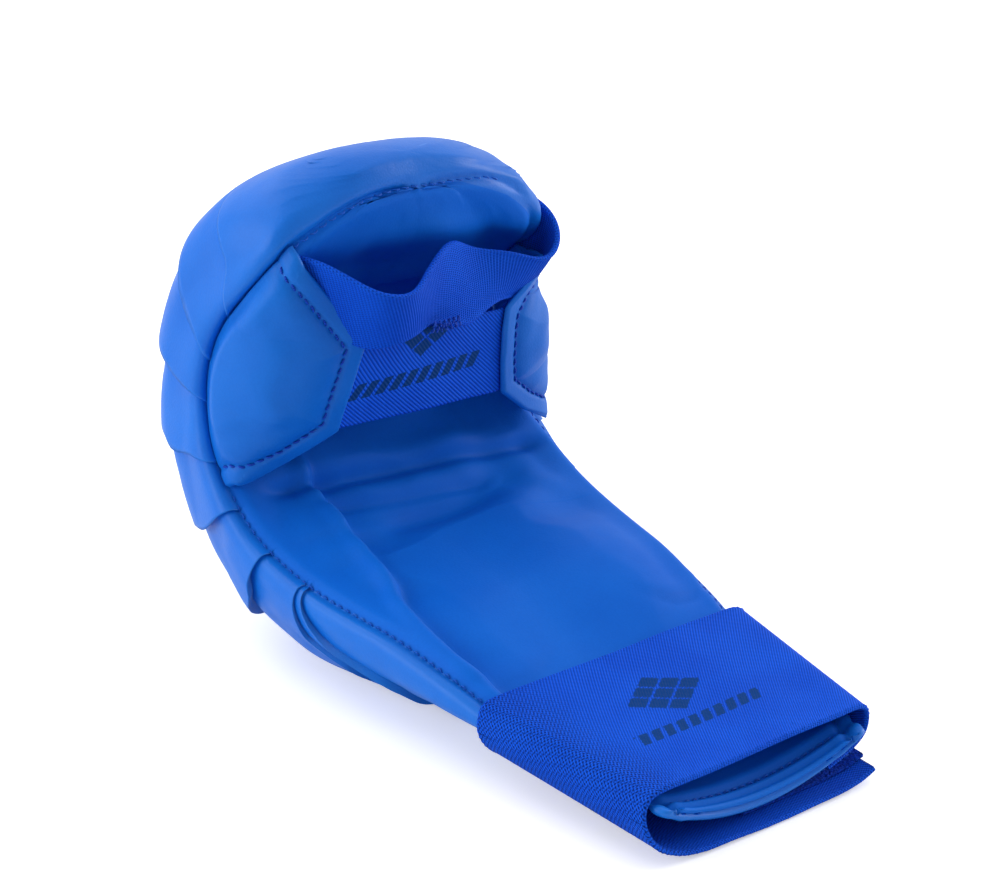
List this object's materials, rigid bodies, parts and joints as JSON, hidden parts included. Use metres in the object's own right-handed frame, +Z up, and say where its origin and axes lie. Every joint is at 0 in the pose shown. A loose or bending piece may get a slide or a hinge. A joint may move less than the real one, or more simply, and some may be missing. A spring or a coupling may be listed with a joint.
{
  "type": "karate hand guard",
  "caption": "Padded karate mitt without a thumb: curled foam pad in stitched blue leatherette, padded side tabs, palm and finger elastics, and a hook-and-loop wrist strap.",
  "frame": {"origin": "on the floor plane, below the middle of the guard's bounding box", "axes": "+X across the hand to the right seen from the wrist, +Y from the wrist towards the knuckles, +Z up, away from the floor the back of the pad lies on"},
  "size_m": [0.1237, 0.2216, 0.1459],
  "materials": {
    "shell_leather": "smooth synthetic leather, satin",
    "lining_leather": "smooth synthetic leather, satin",
    "elastic": "woven elastic webbing",
    "thread": "polyester sewing thread",
    "foam": "closed-cell foam",
    "hook_tape": "hook tape",
    "loop_tape": "loop tape"
  },
  "bodies": {
    "pad": {"outer_shell": "shell_leather", "inner_lining": "lining_leather", "foam_core": "foam", "seam_thread_left": "thread", "seam_thread_right": "thread", "seam_thread_tip": "thread", "wrist_edge_thread": "thread", "loop_patch": "loop_tape", "loop_patch_thread": "thread", "strap_anchor": "elastic", "strap_anchor_thread": "thread"},
    "left_tab": {"left_tab_cover": "shell_leather", "left_tab_backing": "lining_leather", "left_tab_foam": "foam", "left_tab_thread": "thread"},
    "right_tab": {"right_tab_cover": "shell_leather", "right_tab_backing": "lining_leather", "right_tab_foam": "foam", "right_tab_thread": "thread"},
    "hand_elastics": {"palm_elastic": "elastic", "finger_elastic": "elastic", "elastic_tack": "thread"},
    "strap_top": {"strap_span": "elastic"},
    "strap_edge": {"strap_side": "elastic"},
    "strap_end": {"strap_flap": "elastic", "hook_patch": "hook_tape", "hook_patch_thread": "thread"}
  },
  "joints": [
    {"name": "left_tab_flex", "type": "hinge", "parent": "pad", "child": "left_tab", "pos_m": [-0.0527, 0.064, 0.0839], "axis": [-0.1777, 0.1619, -0.9707], "range_deg": [0, 6]},
    {"name": "right_tab_flex", "type": "hinge", "parent": "pad", "child": "right_tab", "pos_m": [0.0527, 0.064, 0.0839], "axis": [-0.1777, -0.1619, 0.9707], "range_deg": [0, 6]},
    {"name": "hand_elastics_stretch", "type": "slide", "parent": "pad", "child": "hand_elastics", "axis": [0, -1, 0], "range_m": [0, 0.0028]},
    {"name": "strap_peel", "type": "hinge", "parent": "pad", "child": "strap_top", "pos_m": [0.0424, -0.07425, 0.0214], "axis": [0.1461, 0.9877, 0.0564], "range_deg": [0, 30]},
    {"name": "strap_edge_unfold", "type": "hinge", "parent": "strap_top", "child": "strap_edge", "pos_m": [-0.044, -0.0745, 0.0205], "axis": [-0.1528, 0.9868, 0.0532], "range_deg": [0, 90]},
    {"name": "strap_end_unfold", "type": "hinge", "parent": "strap_edge", "child": "strap_end", "pos_m": [-0.0446, -0.07835, 0.00765], "axis": [-0.156, 0.9877, -0.0083], "range_deg": [0, 90]}
  ],
  "couplings": [
    {"joint": "right_tab_flex", "follows": "left_tab_flex", "ratio": 1},
    {"joint": "hand_elastics_stretch", "follows": "left_tab_flex", "m_per_rad": 0.0257},
    {"joint": "strap_edge_unfold", "follows": "strap_peel", "ratio": 3},
    {"joint": "strap_end_unfold", "follows": "strap_peel", "ratio": 3}
  ]
}
